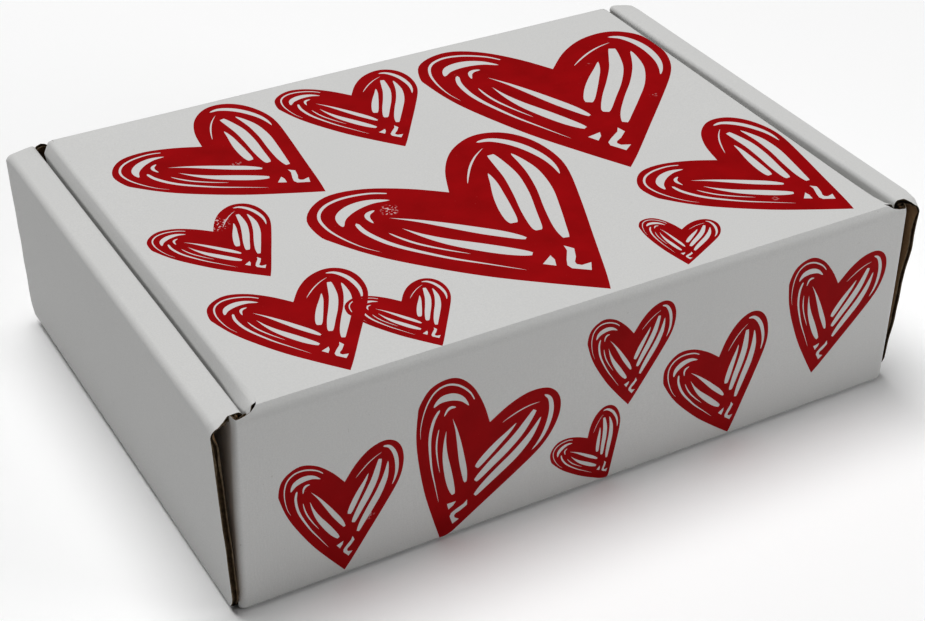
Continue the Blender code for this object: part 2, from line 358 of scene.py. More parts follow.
# The heart's outline, drawn upright with its tip at the origin, and the bare strokes left in it.
# A stroke is its middle line, its width, a power that moves its widest place (below one towards
# the start, above one towards the end), and where it is cut off.
HEART_LEFT = [
    (0, 0), (-0.12, 0.14), (-0.25, 0.303), (-0.37, 0.488), (-0.439, 0.62), (-0.483, 0.745),
    (-0.494, 0.805), (-0.47, 0.9), (-0.4, 0.961), (-0.31, 0.98), (-0.2, 0.939), (-0.09, 0.849),
    (0, 0.745),
]
HEART_RIGHT = [
    (0, 0.745), (0.08, 0.855), (0.17, 0.935), (0.26, 0.973), (0.335, 0.974), (0.4, 0.938),
    (0.44, 0.875), (0.455, 0.79), (0.442, 0.685), (0.4, 0.585), (0.3, 0.43), (0.18, 0.255),
    (0.06, 0.08), (0, 0),
]
HEART_STROKES = [
    ([(-0.162, 0.87), (-0.2, 0.902), (-0.25, 0.926), (-0.304, 0.94), (-0.36, 0.938),
      (-0.405, 0.916), (-0.434, 0.88), (-0.448, 0.83), (-0.45, 0.78), (-0.443, 0.72),
      (-0.428, 0.66), (-0.404, 0.607)], 0.012, 0.7, 0.05, 1.0),
    ([(-0.181, 0.831), (-0.229, 0.86), (-0.275, 0.871), (-0.32, 0.869), (-0.362, 0.854),
      (-0.386, 0.831), (-0.402, 0.799)], 0.044, 1.1, 0.0, 1.0),
    ([(-0.357, 0.79), (-0.368, 0.733), (-0.36, 0.662), (-0.34, 0.597), (-0.306, 0.525),
      (-0.256, 0.435), (-0.195, 0.345), (-0.122, 0.238)], 0.019, 0.45, 0.0, 1.0),
    ([(-0.314, 0.679), (-0.304, 0.629), (-0.282, 0.566), (-0.241, 0.491), (-0.195, 0.42)],
     0.010, 0.8, 0.0, 1.0),
    ([(-0.26, 0.814), (-0.29, 0.81), (-0.307, 0.791), (-0.313, 0.754)], 0.018, 0.9, 0.0, 1.0),
    ([(-0.263, 0.673), (-0.24, 0.6), (-0.203, 0.52), (-0.15, 0.437), (-0.093, 0.355),
      (-0.047, 0.296)], 0.046, 1.6, 0.0, 0.95),
    ([(-0.254, 0.748), (-0.197, 0.679), (-0.141, 0.597), (-0.085, 0.51), (-0.035, 0.435),
      (0, 0.375)], 0.038, 1.6, 0.0, 0.96),
    ([(0.293, 0.935), (0.337, 0.92), (0.371, 0.879), (0.393, 0.823), (0.402, 0.76),
      (0.4, 0.697), (0.386, 0.641), (0.366, 0.597)], 0.031, 0.8, 0.0, 1.0),
    ([(0.284, 0.891), (0.227, 0.866), (0.171, 0.829), (0.121, 0.785), (0.084, 0.747)],
     0.008, 1.0, 0.0, 1.0),
    ([(0.182, 0.754), (0.155, 0.697), (0.115, 0.629), (0.077, 0.56), (0.046, 0.497),
      (0.034, 0.468)], 0.046, 1.2, 0.0, 0.9),
    ([(0.272, 0.84), (0.253, 0.766), (0.227, 0.685), (0.177, 0.585), (0.121, 0.491),
      (0.077, 0.41), (0.066, 0.385)], 0.055, 0.9, 0.08, 0.92),
    ([(0.333, 0.803), (0.324, 0.735), (0.305, 0.66), (0.259, 0.56), (0.196, 0.46),
      (0.134, 0.36), (0.102, 0.297)], 0.055, 1.1, 0.0, 0.93),
]
HEART_CHIPS = [
    [(-0.063, 0.233), (-0.01, 0.254), (-0.016, 0.228), (-0.037, 0.199)],
    [(0.062, 0.268), (0.076, 0.235), (0.046, 0.197), (0.023, 0.178), (0.018, 0.165),
     (0.027, 0.151), (0.061, 0.144), (0.03, 0.111), (-0.01, 0.157), (-0.009, 0.179),
     (0.012, 0.204), (0.05, 0.241)],
]

# Where the hearts are printed: the tip's place across and up the panel, the heart's size in
# millimetres, and how far it is turned anticlockwise, in degrees. Those on the hinge wall are
# printed slightly taller.
LID_HEARTS = [
    (-35, 6.5, 54, 27.5),
    (-6, 17.5, 43, -0.5),
    (41, -19.5, 77.5, -11.5),
    (4.5, -65, 77.5, 12),
    (79.5, -63.5, 53.5, 24),
    (27, -65, 21.5, -29.5),
    (-64, -22.5, 33.5, 9),
    (-64.5, -65, 40.5, -1),
    (-42, -66.5, 27, -1),
]
WALL_HEARTS = [
    (-68.5, 2, 33.5, -1),
    (-42.5, 0, 43.5, -23),
    (5.5, 0.5, 22, 25),
    (10, 22.5, 27, 0),
    (43, 1.5, 34, 13.5),
    (69, 11.5, 34.5, -10.5),
]
WALL_STRETCH = 1.06


def heart_shapes():
    """The heart's silhouette, and the outlines of its bare strokes, in units of its height."""
    left = smooth_line(HEART_LEFT)
    right = smooth_line(HEART_RIGHT)
    silhouette = (left + right[1:-1])[::-1]
    chips = [[Vector(point) for point in chip] for chip in HEART_CHIPS]
    return silhouette, [brush_stroke(*stroke) for stroke in HEART_STROKES] + chips


HEART = heart_shapes()


def stamped(heart, stretch):
    """One printed heart on its panel: its silhouette and its bare strokes."""
    u, v, size, turn = heart
    spin = Matrix.Rotation(math.radians(turn), 2)
    grow = Vector((size, size * stretch))
    tip = Vector((u, v))
    silhouette, strokes = HEART
    moved = [[tip + (spin @ point) * grow for point in shape] for shape in (silhouette, *strokes)]
    return moved[0], moved[1:]


def anticlockwise(polygon):
    doubled = sum(a[0] * b[1] - b[0] * a[1] for a, b in zip(polygon, polygon[1:] + polygon[:1]))
    return polygon if doubled > 0 else polygon[::-1]


class Drawing:
    """Outlines and lines on the flat blank, cut into faces that know what they lie in."""

    def __init__(self):
        self.points = []
        self.edges = []
        self.faces = []

    def outline(self, polygon):
        """Adds a closed outline and returns its number."""
        first = len(self.points)
        self.points += [Vector(point[:2]) for point in anticlockwise(list(polygon))]
        self.faces.append(list(range(first, len(self.points))))
        return len(self.faces) - 1

    def line(self, start, end):
        first = len(self.points)
        self.points += [Vector(start), Vector(end)]
        self.edges.append((first, first + 1))

    def cut(self):
        """Vertices, faces, and the numbers of the outlines that each face lies in."""
        made = delaunay_2d_cdt(self.points, self.edges, self.faces, 4, CDT_EPSILON)
        return made[0], made[2], made[5]


def draw_grid(drawing, columns, rows):
    for u in columns:
        drawing.line((u, rows[0]), (u, rows[-1]))
    for v in rows:
        drawing.line((columns[0], v), (columns[-1], v))


def add_panel(bm, outline, columns, rows, place, **options):
    """One stretch of the outer liner: cut flat, printed and folded into place.

    Options: flip, where u cross v points into the board; flutes, "u" or "v", which way they run;
    holes, outlines cut out of it; hearts, printed on it, and their stretch along v; depth(u, v),
    how far its cut edge is open.
    """
    drawing = Drawing()
    panel = drawing.outline(outline)
    holes = {drawing.outline(hole) for hole in options.get("holes", [])}
    prints = []
    for heart in options.get("hearts", []):
        silhouette, strokes = stamped(heart, options.get("stretch", 1.0))
        whole = drawing.outline(silhouette)
        prints.append((whole, {drawing.outline(stroke) for stroke in strokes}))
    draw_grid(drawing, columns, rows)
    flat, faces, inside = drawing.cut()
    depth = options.get("depth", lambda u, v: EDGE_DEPTH)
    depth_layer = bm.verts.layers.float["depth"]
    uv_layer = bm.loops.layers.uv["sheet"]
    verts = {}
    for face, numbers in zip(faces, inside):
        numbers = set(numbers)
        if panel not in numbers or numbers & holes:
            continue
        for index in face:
            if index not in verts:
                u, v = flat[index]
                verts[index] = bm.verts.new(place(u, v) * MM)
                verts[index][depth_layer] = depth(u, v) * MM
        order = face[::-1] if options.get("flip") else face
        made = bm.faces.new([verts[index] for index in order])
        printed = any(whole in numbers and not numbers & bare for whole, bare in prints)
        made.material_index = INK_SLOT if printed else LINER_SLOT
        for loop, index in zip(made.loops, order):
            u, v = flat[index]
            loop[uv_layer].uv = (v, u) if options.get("flutes") == "u" else (u, v)


def set_at_corners(values, x, y):
    """A value at (x, y), blended from the values at the box's four corners."""
    along_x = x / (2 * BASE_HALF) + 0.5
    along_y = y / DEPTH + 0.5
    front = values[0] + (values[1] - values[0]) * along_x
    back = values[2] + (values[3] - values[2]) * along_x
    return front + (back - front) * along_y


def at_own_corner(values, x, y):
    """The value at the corner of the box that is nearest to (x, y)."""
    return set_at_corners(values, math.copysign(BASE_HALF, x), math.copysign(DEPTH / 2, y))


def waver(x, y, z):
    """The slight waviness of hand-folded board."""
    place = Vector((x, y, z)) * WAVE_SCALE
    return noise.noise_vector(place) * WAVE_HEIGHT


def settled(x, y, z):
    """A point of the end walls, bottom, lid or flap, moved as in the photographed box."""
    rise = z / HEIGHT
    lift = set_at_corners(BASE_LIFT, x, y) * (1 - rise)
    lift += set_at_corners(LID_LIFT, x, y) * rise
    on_face = max(0.0, 1 - (x / BASE_HALF) ** 2) * math.sin(math.pi * ramp(z, 0, HEIGHT))
    bow = FACE_BOW * on_face * max(0.0, -y / (DEPTH / 2)) ** FACE_BOW_POWER
    return Vector((x, y - bow, z + lift)) + waver(x, y, z) * rise


def end_share(y, reach):
    """How near a point is to the front or back end: 1 at the end, 0 at the reach."""
    return max(0.0, 1 - (DEPTH / 2 - abs(y)) / reach)


def roll_droop(x, y, z):
    """How far the end of a rolled edge hangs down."""
    droop = at_own_corner(ROLL_DROOP, x, y) * end_share(y, DROOP_REACH) ** DROOP_POWER
    return droop * ramp(z, HEIGHT - DROOP_HEIGHT, HEIGHT) * ramp(abs(x), DROOP_START_X, WALL_TOP_HALF)


def roll_setback(x, y, z):
    """How far the end of a side wall stands back at its foot."""
    setback = at_own_corner(ROLL_SETBACK, x, y) * end_share(y, SETBACK_REACH)
    setback *= max(0.0, 1 - z / HEIGHT) ** SETBACK_POWER
    return setback * ramp(z, 0, SETBACK_FOOT)


def settled_roll(x, y, z):
    """A point of a double side wall, moved as in the photographed box."""
    rise = z / HEIGHT
    side = math.copysign(1, x)
    edge = side * BASE_HALF
    lift = set_at_corners(BASE_LIFT, x, y) * (1 - rise)
    lift += set_at_corners(ROLL_LIFT, edge, y) * rise
    outer = set_at_corners(ROLL_LEAN, edge, y)
    inner = set_at_corners(INNER_LEAN, edge, y)
    inward = ramp((WALL_TOP_HALF - abs(x)) * rise, 0, ROLL_WIDTH)
    lean = (outer + (inner - outer) * inward) * rise
    droop = roll_droop(x, y, z)
    y -= math.copysign(roll_setback(x, y, z), y)
    return Vector((x + side * lean, y, z + lift - droop)) + waver(x, y, z) * rise


def rim_line(depth):
    """The cut edge's profile: distance into the board's thickness, and back from the outline."""
    return [
        (LINER * MM, 0.0),
        ((LINER + LINER_SLOPE) * MM, depth),
        ((BOARD - LINER - LINER_SLOPE) * MM, depth),
        ((BOARD - LINER) * MM, 0.0),
    ]


def worn_rim(place, depth):
    """The profile with its liners frayed and, in places, pressed together."""
    open_share = depth / (EDGE_DEPTH * MM)
    pressed = max(0.0, noise.noise(place / MM * CRUSH_SCALE)) * CRUSH * open_share
    frayed = noise.noise(place / MM * FRAY_SCALE) * FRAY * MM * open_share
    profile = []
    for index, (t, back) in enumerate(rim_line(depth)):
        shift = frayed if index < 2 else -frayed
        profile.append((t + (BOARD * MM / 2 - t) * pressed, back + shift))
    return profile


def outward_at(edge):
    """The direction out of the board, in its plane, across one of its outline's edges."""
    loop = edge.link_loops[0]
    along = loop.link_loop_next.vert.co - loop.vert.co
    return along.cross(loop.face.normal).normalized()


def outline_directions(outline):
    """For each vertex on the outline, the way out of the board in its own plane."""
    directions = {}
    for edge in outline:
        outward = outward_at(edge)
        for vert in edge.verts:
            directions.setdefault(vert, []).append(outward)
    result = {}
    for vert, sides in directions.items():
        middle = sum(sides, Vector()).normalized()
        result[vert] = middle / max(MITRE_LIMIT, middle.dot(sides[0]))
    return result


def pinch_at(place):
    """How far the board is pressed flat: only at the front ends of the rolls."""
    x, y, z = place / MM
    pinch = ROLL_PINCH * ramp(DEPTH / 2 + y, *PINCH_FRONT)
    return pinch * ramp(abs(x) - INNER_HALF, *PINCH_ACROSS) * ramp(HEIGHT - z, *PINCH_DOWN)


def add_rim(bm, outline, normals, inner):
    """Closes the board's cut edges: two liners with an open groove between them.

    Returns the way out of the board at each vertex of the outline.
    """
    depth_layer = bm.verts.layers.float["depth"]
    outward = outline_directions(outline)
    rims = {}
    for vert, way in outward.items():
        open_share = vert[depth_layer] / (EDGE_DEPTH * MM)
        ragged = noise.noise(vert.co / MM * RAGGED_SCALE) * RAGGED * MM * open_share
        ragged *= math.sin(math.pi * ramp(vert.co.z / MM, 0, HEIGHT))
        vert.co += way * ragged
        inner[vert].co += way * ragged
        left = 1 - pinch_at(vert.co)
        inner[vert].co = vert.co.lerp(inner[vert].co, left)
        profile = worn_rim(vert.co, vert[depth_layer])
        made = [bm.verts.new(vert.co - normals[vert] * t * left - way * back)
                for t, back in profile]
        rims[vert] = [vert, *made, inner[vert]]
    for edge in outline:
        loop = edge.link_loops[0]
        start, end = rims[loop.vert], rims[loop.link_loop_next.vert]
        for index in range(len(start) - 1):
            ring = [end[index], start[index], start[index + 1], end[index + 1]]
            face = bm.faces.new(ring)
            face.material_index = CORE_SLOT if index in (1, 2, 3) else EDGE_SLOT
    return outward


def add_flutes(bm, edge, normals, outward):
    """The wavy paper between the liners, seen end on along one edge of the outline."""
    depth_layer = bm.verts.layers.float["depth"]
    uv_layer = bm.loops.layers.uv["sheet"]
    loop = edge.link_loops[0]
    following = loop.link_loop_next
    start, end = loop.vert, following.vert
    uv_start, uv_end = loop[uv_layer].uv, following[uv_layer].uv
    across, along = abs(uv_end.x - uv_start.x), abs(uv_end.y - uv_start.y)
    depth = min(start[depth_layer], end[depth_layer])
    is_shut = depth < FLUTE_DEPTH * MM or pinch_at(start.co) > PINCH_LIMIT
    if across < along or is_shut:
        return
    before = None
    for t in spread(0.0, 1.0, FLUTE_STEP / max(FLUTE_STEP, across)):
        place = start.co.lerp(end.co, t)
        normal = normals[start].lerp(normals[end], t)
        way = outward[start].lerp(outward[end], t)
        phase = (uv_start.x + (uv_end.x - uv_start.x) * t) / FLUTE_PITCH * 2 * math.pi
        middle = BOARD * (0.5 + FLUTE_SWING * math.cos(phase))
        ring = []
        for shift, back in ((-0.5, FLUTE_INSET), (0.5, FLUTE_INSET), (0.5, 1.0), (-0.5, 1.0)):
            level = (middle + shift * FLUTE_PAPER) * MM
            ring.append(bm.verts.new(place - normal * level - way * depth * back))
        if before:
            for index in range(4):
                following_index = (index + 1) % 4
                quad = [before[index], before[following_index], ring[following_index], ring[index]]
                bm.faces.new(quad).material_index = CORE_SLOT
        before = ring


def thicken(bm):
    """Gives the joined liner its inner face, one board in, and its cut edges."""
    uv_layer = bm.loops.layers.uv["sheet"]
    bm.normal_update()
    liner = list(bm.faces)
    normals = {vert: vert.normal.copy() for vert in bm.verts}
    outline = [edge for edge in bm.edges if edge.is_boundary]
    inner = {vert: bm.verts.new(vert.co - normals[vert] * BOARD * MM) for vert in normals}
    outward = add_rim(bm, outline, normals, inner)
    for edge in outline:
        add_flutes(bm, edge, normals, outward)
    for face in liner:
        loops = list(face.loops)[::-1]
        made = bm.faces.new([inner[loop.vert] for loop in loops])
        made.material_index = KRAFT_SLOT
        for new, old in zip(made.loops, loops):
            new[uv_layer].uv = old[uv_layer].uv


def start_sheet():
    bm = bmesh.new()
    bm.loops.layers.uv.new("sheet")
    bm.verts.layers.float.new("depth")
    return bm


def finish_board(name, bm, materials):
    """Joins the panels, thickens them and makes the piece."""
    bmesh.ops.remove_doubles(bm, verts=bm.verts, dist=MERGE * MM)
    thicken(bm)
    mesh = bpy.data.meshes.new(name)
    bm.to_mesh(mesh)
    bm.free()
    for material in materials:
        mesh.materials.append(material)
    mesh.polygons.foreach_set("use_smooth", [True] * len(mesh.polygons))
    mesh.set_sharp_from_angle(angle=SHARP_ANGLE)
    obj = bpy.data.objects.new(name, mesh)
    bpy.context.scene.collection.objects.link(obj)
    return obj


def add_bottom(bm, reach, y_lines):
    """The bottom, with the slots that the side walls' tabs go through."""
    columns = between(mirrored([reach, END_FOLD_X, SLOT_LOW, SLOT_HIGH]))
    half_tab = TAB_WIDTH / 2 + LAYER_GAP
    slots = []
    for side in (-1, 1):
        for middle in (-TAB_SPACING / 2, TAB_SPACING / 2):
            front, back = middle - half_tab, middle + half_tab
            slots.append([(side * SLOT_LOW, front), (side * SLOT_HIGH, front),
                          (side * SLOT_HIGH, back), (side * SLOT_LOW, back)])
    corner = [(reach, CORNER_CUT_Y), (END_FOLD_X, BASE_FOLD_Y)]
    half = [(x, -y) for x, y in reversed(corner)] + corner
    outline = both_sides(half)
    add_panel(bm, outline, columns, y_lines, lambda x, y: settled(x, y, 0.0), flip=True,
              holes=slots)


def side_section():
    """A side wall from the bottom's middle line out, up, over the roll and down inside."""
    return Path([
        (0, 0, 0),
        (BASE_HALF, 0, BASE_RADIUS),
        (WALL_TOP_HALF, HEIGHT, ROLL_EDGE_RADIUS),
        (INNER_HALF, HEIGHT, ROLL_INNER_RADIUS),
        (INNER_HALF, LAYER_GAP, 0),
    ])


def side_outline(path):
    """A side wall's outline on the blank: wider at the outer panel, and two tabs at its end."""
    base = path.folds[0]
    outer_fold = [s for s in path.folds if path.at(s).x > WALL_TOP_HALF - ROLL_EDGE_RADIUS
                  and path.at(s).y > HEIGHT - ROLL_EDGE_RADIUS]
    inner_fold = [s for s in path.folds if path.at(s).x < INNER_HALF + ROLL_INNER_RADIUS + MERGE]
    inner_foot = path.length - BOARD
    half_tab = TAB_WIDTH / 2
    foot = [
        (CORNER_CUT_Y, base),
        (BASE_FOLD_Y - 0.8, base + 1.5),
        (BASE_FOLD_Y + 0.5, base + 3.2),
        (DEPTH / 2 - 0.5, base + 4.8),
        (DEPTH / 2, base + 6.4),
    ]
    back = [(DEPTH / 2, inner_fold[-1]), (INNER_PANEL_END, inner_fold[-1] + 1.5)]
    front = [
        (DEPTH / 2, outer_fold[0]),
        (DEPTH / 2 - 0.2, outer_fold[-1] + 0.5),
        (DEPTH / 2 - 0.9, outer_fold[-1] + 2.0),
        (INNER_PANEL_END, outer_fold[-1] + 3.6),
        (INNER_PANEL_END, inner_fold[-1]),
    ]
    tabs = [
        (INNER_PANEL_END, inner_foot),
        (TAB_SPACING / 2 + half_tab, inner_foot),
        (TAB_SPACING / 2 + half_tab, path.length),
        (TAB_SPACING / 2 - half_tab, path.length),
        (TAB_SPACING / 2 - half_tab, inner_foot),
    ]
    near = [(-y, s) for y, s in foot + front + tabs]
    return foot + back + tabs + near[::-1]


def add_side_wall(bm, side, y_lines):
    path = side_section()

    def place(y, s):
        x, z = path.at(s)
        return settled_roll(side * x, y, z)

    columns = sorted({*y_lines, -DEPTH / 2, DEPTH / 2, -INNER_PANEL_END, INNER_PANEL_END})
    stations = [path.folds[0], *path.folds, path.length - BOARD, path.length]
    add_panel(bm, side_outline(path), columns, between(stations, EDGE_CELL), place,
              flip=side < 0, flutes="u")


def dust_flap_outline(end):
    """A dust flap's free end on the blank, rounded at both corners."""
    radius = DUST_FLAP_ROUNDING
    top = (end - radius, END_WALL_TOP - radius)
    foot = (end - radius, BASE_RADIUS + radius)
    return (quarter_round(top, radius, math.pi / 2, 0.0, steps=5)
            + quarter_round(foot, radius, 0.0, -math.pi / 2, steps=5))


def notch_outline(facing):
    """An end wall's top, from its middle out to the dust flap."""
    if facing > 0:
        return [(86.5, END_WALL_TOP), (88.0, END_WALL_TOP + 1.0), (89.0, END_WALL_TOP + 1.3),
                (90.2, END_WALL_TOP + 0.9), (91.0, END_WALL_TOP)]
    return [
        (SEAM_HALF, HINGE_WALL_SEAM),
        (SEAM_HALF, NOTCH_FOOT),
        (93.6, NOTCH_FOOT),
        (94.5, NOTCH_FOOT + 0.3),
        (95.3, NOTCH_FOOT + 0.7),
        (96.0, NOTCH_FOOT + 0.4),
        (98.0, END_WALL_TOP + 0.6),
        (100.5, END_WALL_TOP),
    ]


def end_wall_head(facing):
    """The top of an end wall's section: at the hinge it leads into the crease."""
    if facing > 0:
        return [(DEPTH / 2, LID_TOP, 0)]
    return [(DEPTH / 2, HINGE_CURVE_Z, HINGE_CURVE), (DEPTH / 2 - HINGE_SETBACK, LID_TOP, 0)]


def add_end_wall(bm, facing, x_lines):
    """One end wall with its two dust flaps and the crease that joins it to the bottom."""
    plan = Path([(0, DEPTH / 2, 0), (LENGTH / 2, DEPTH / 2, END_RADIUS),
                 (LENGTH / 2, DUST_FLAP_END, 0)])
    section = Path([(0, 0, 0), (DEPTH / 2, 0, BASE_RADIUS), *end_wall_head(facing)])
    fold_length = BASE_RADIUS * math.pi / 2
    shift = BASE_FOLD_Y + fold_length - BASE_RADIUS

    def place(u, v):
        x, y = plan.at(abs(u))
        inset, z = section.at(v + shift)
        x -= END_LEAN * ramp(abs(u), SEAM_HALF, LENGTH / 2) * (z / HEIGHT) ** END_LEAN_POWER
        return settled(math.copysign(x, u), facing * (y + inset - DEPTH / 2), z)

    foot = BASE_RADIUS - fold_length
    half = [(END_FOLD_X, foot), (END_FOLD_X + 1.2, foot + 0.5), (END_FOLD_X + 2.3, foot + 1.6),
            (END_FOLD_X + 3.0, BASE_RADIUS)]
    half += dust_flap_outline(plan.length)[::-1]
    half += notch_outline(facing)[::-1]
    columns = between(mirrored([*x_lines, *plan.folds, plan.length]))
    levels = [END_WALL_TOP, HINGE_WALL_SEAM, NOTCH_FOOT, NOTCH_FOOT + 0.8]
    rows = between([v - shift for v in section.folds] + levels)

    def depth(u, v):
        if facing < 0 and v > HINGE_WALL_SEAM - MERGE and abs(u) < SEAM_HALF + MERGE:
            return 0.0
        return SHALLOW_DEPTH if facing < 0 and abs(u) < SHALLOW_HALF else EDGE_DEPTH

    add_panel(bm, both_sides(half), columns, rows, place, flip=facing > 0, depth=depth,
              hearts=WALL_HEARTS if facing < 0 else [], stretch=WALL_STRETCH)


def make_tray(materials):
    bm = start_sheet()
    half_tab = TAB_WIDTH / 2
    tabs = [TAB_SPACING / 2 + reach for reach in
            (-half_tab - LAYER_GAP, -half_tab, half_tab, half_tab + LAYER_GAP)]
    y_lines = between(mirrored([BASE_FOLD_Y, *tabs]))
    reach = side_section().folds[0]
    x_lines = [x for x in between(mirrored([reach, END_FOLD_X, SLOT_LOW, SLOT_HIGH]))
               if abs(x) <= END_FOLD_X + MERGE]
    add_bottom(bm, reach, y_lines)
    for side in (-1, 1):
        add_side_wall(bm, side, y_lines)
    for facing in (-1, 1):
        add_end_wall(bm, facing, x_lines)
    tray = finish_board("tray_board", bm, materials)
    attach(tray, "tray")
    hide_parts("tray")


def flap_tilt():
    """How far the tuck flap leans in: the angle that brings its inner corner to the frame's."""
    level = LID_RADIUS - BOARD
    down = LAYER_GAP + TUCK_LENGTH
    inset = FLAP_LOW.y - TUCK_CENTRE_Y
    return math.acos(inset / math.hypot(level, down)) - math.atan2(down, level)


def lid_section():
    """The sheet from the hinge wall's foot up, over the lid, and down the tuck flap."""
    tilt = flap_tilt()
    corner_y = TUCK_CENTRE_Y + LID_RADIUS * math.tan((math.pi / 2 + tilt) / 2)
    outward = Vector((math.cos(tilt), -math.sin(tilt)))
    down = Vector((-math.sin(tilt), -math.cos(tilt)))
    end = Vector((TUCK_CENTRE_Y, CREASE_Z)) + outward * LID_RADIUS + down * (LAYER_GAP + TUCK_LENGTH)
    return Path([
        (-DEPTH / 2, 0, 0),
        (-DEPTH / 2, HINGE_CURVE_Z, HINGE_CURVE),
        (HINGE_SETBACK - DEPTH / 2, LID_TOP, 0),
        (corner_y, LID_TOP, LID_RADIUS),
        (*end, 0),
    ])


LID_SECTION = lid_section()
# On the lid the length along the sheet is read as Y, and it runs on past both creases
HINGE_LINE = next(s for s in LID_SECTION.folds if LID_SECTION.at(s).y > LID_TOP - MERGE)
LID_SHIFT = HINGE_LINE - HINGE_SETBACK + DEPTH / 2
HINGE_FOOT_SEAM = HINGE_WALL_SEAM - LID_SHIFT
TUCK_FOLD_END = LID_SECTION.folds[-1] - LID_SHIFT
TUCK_FLAP_SEAM = TUCK_FOLD_END + SEAM_REACH
TUCK_FLAP_END = LID_SECTION.length - LID_SHIFT


def place_on_sheet(u, v):
    y, z = LID_SECTION.at(v + LID_SHIFT)
    return settled(u, y, z)


def ear_section():
    """The sheet from the lid's middle out, down the flattened crease and down the ear."""
    return Path([
        (0, LID_TOP, 0),
        (BEVEL_TOP_X, LID_TOP, BEVEL_RADIUS),
        (EAR_HALF, BEVEL_FOOT_Z, BEVEL_RADIUS),
        (EAR_HALF, LID_TOP - EAR_DEPTH, 0),
    ])


def lid_outline(across):
    bevel_top, bevel_foot, ear_end = across.folds[0], across.folds[-1], across.length
    half = [
        (bevel_top, HINGE_LID_SEAM),
        (bevel_top + 1.0, HINGE_LID_SEAM - 1.6),
        (bevel_top + 2.2, HINGE_LID_SEAM - 2.2),
        (bevel_top + 3.0, HINGE_LID_SEAM - 3.2),
        (bevel_top + 3.7, HINGE_LID_SEAM - 3.0),
        (bevel_foot + 0.8, HINGE_LID_SEAM - 1.5),
        (bevel_foot + 2.5, EAR_FRONT),
        (ear_end, EAR_FRONT + EAR_SLANT),
        (ear_end, EAR_BACK - EAR_SLANT),
        (bevel_foot + 1.0, 61.8),
        (bevel_foot - 0.6, 63.2),
        (bevel_top + 1.0, LID_BACK),
        (bevel_top, 63.8),
        (bevel_top, TUCK_LID_SEAM),
    ]
    return both_sides(half)


def make_lid(materials):
    across = ear_section()

    def place(u, v):
        x, z = across.at(abs(u))
        y, level = LID_SECTION.at(v + LID_SHIFT)
        beyond = ramp(abs(u) - across.folds[0], 0.5, 2.5)
        to_seam = v - HINGE_LID_SEAM
        x += EAR_SPREAD * beyond * ramp(to_seam, EAR_SPREAD_REACH, 0)
        z += EAR_RISE * beyond * ramp(to_seam, EAR_RISE_REACH, -EAR_RISE_REACH)
        return settled(math.copysign(x, u), y, z + level - LID_TOP)

    def depth(u, v):
        on_seam = v < HINGE_LID_SEAM + MERGE or abs(v - TUCK_LID_SEAM) < MERGE
        if abs(u) < across.folds[0] + MERGE and on_seam:
            return 0.0
        return SHALLOW_DEPTH if abs(u) < across.folds[-1] + 1 else EDGE_DEPTH

    bm = start_sheet()
    columns = between(mirrored([*across.folds, across.length]))
    rows = between([HINGE_LID_SEAM - 3.0, HINGE_LID_SEAM - 1.5, HINGE_LID_SEAM, TUCK_LID_SEAM,
                    LID_BEND, LID_BACK])
    add_panel(bm, lid_outline(across), columns, rows, place, depth=depth, hearts=LID_HEARTS)
    lid = finish_board("lid_board", bm, materials)
    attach(lid, "lid")
    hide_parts("lid")


def make_tuck_flap(materials):
    start = TUCK_FLAP_SEAM
    narrow = TUCK_HALF - TUCK_TAPER
    centre = (narrow - TUCK_ROUNDING, TUCK_FLAP_END - TUCK_ROUNDING)
    corner = quarter_round(centre, TUCK_ROUNDING, 0.0, math.pi / 2, steps=6)
    bm = start_sheet()
    columns = between([-TUCK_HALF, TUCK_HALF])
    rows = between([start, TUCK_FLAP_END])
    add_panel(bm, both_sides([(TUCK_HALF, start), *corner]), columns, rows, place_on_sheet,
              depth=lambda u, v: 0.0 if v < start + MERGE else EDGE_DEPTH)
    flap = finish_board("tuck_board", bm, materials)
    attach(flap, "tuck_flap")
    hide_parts("tuck_flap")


def inner_point(v):
    """The place on the board's inner face below a point of the sheet's middle line."""
    ahead = LID_SECTION.at(v + LID_SHIFT + TANGENT_STEP)
    here = LID_SECTION.at(v + LID_SHIFT)
    along = (ahead - here).normalized()
    inward = Vector((along.y, -along.x))
    y, z = here + inward * BOARD
    return Vector((0, y, z)) * MM


def make_crease(name, outline, low, high, bodies, materials):
    """A crease that bends when the box opens, between the seams at low and high."""
    bm = start_sheet()
    columns = between([-outline[0][0], outline[0][0]])
    folds = [s - LID_SHIFT for s in LID_SECTION.folds]
    rows = between([low, high] + [v for v in folds if low < v < high], CREASE_CELL)

    def depth(u, v):
        on_seam = v < low + MERGE or v > high - MERGE or abs(u) > SEAM_HALF - MERGE
        return 0.0 if on_seam else SHALLOW_DEPTH

    add_panel(bm, both_sides(outline), columns, rows, place_on_sheet, depth=depth,
              hearts=LID_HEARTS)
    crease = finish_board(name, bm, materials)
    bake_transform(crease, *bodies, inner_point(low), inner_point(high))


def make_creases(materials):
    edge = ear_section().folds[0]
    foot = NOTCH_FOOT - LID_SHIFT
    hinge = [(SEAM_HALF, HINGE_FOOT_SEAM), (SEAM_HALF, foot), (91.2, foot + 0.3),
             (89.7, foot + 0.8), (88.6, foot + 1.6), (88.0, HINGE_LID_SEAM - 1.9),
             (edge + 0.3, HINGE_LID_SEAM)]
    make_crease("hinge_crease", hinge, HINGE_FOOT_SEAM, HINGE_LID_SEAM,
                ("tray", "lid"), materials)
    tuck = [(edge, TUCK_LID_SEAM), (TUCK_HALF, TUCK_FOLD_END), (TUCK_HALF, TUCK_FLAP_SEAM)]
    make_crease("tuck_crease", tuck, TUCK_LID_SEAM, TUCK_FLAP_SEAM,
                ("lid", "tuck_flap"), materials)


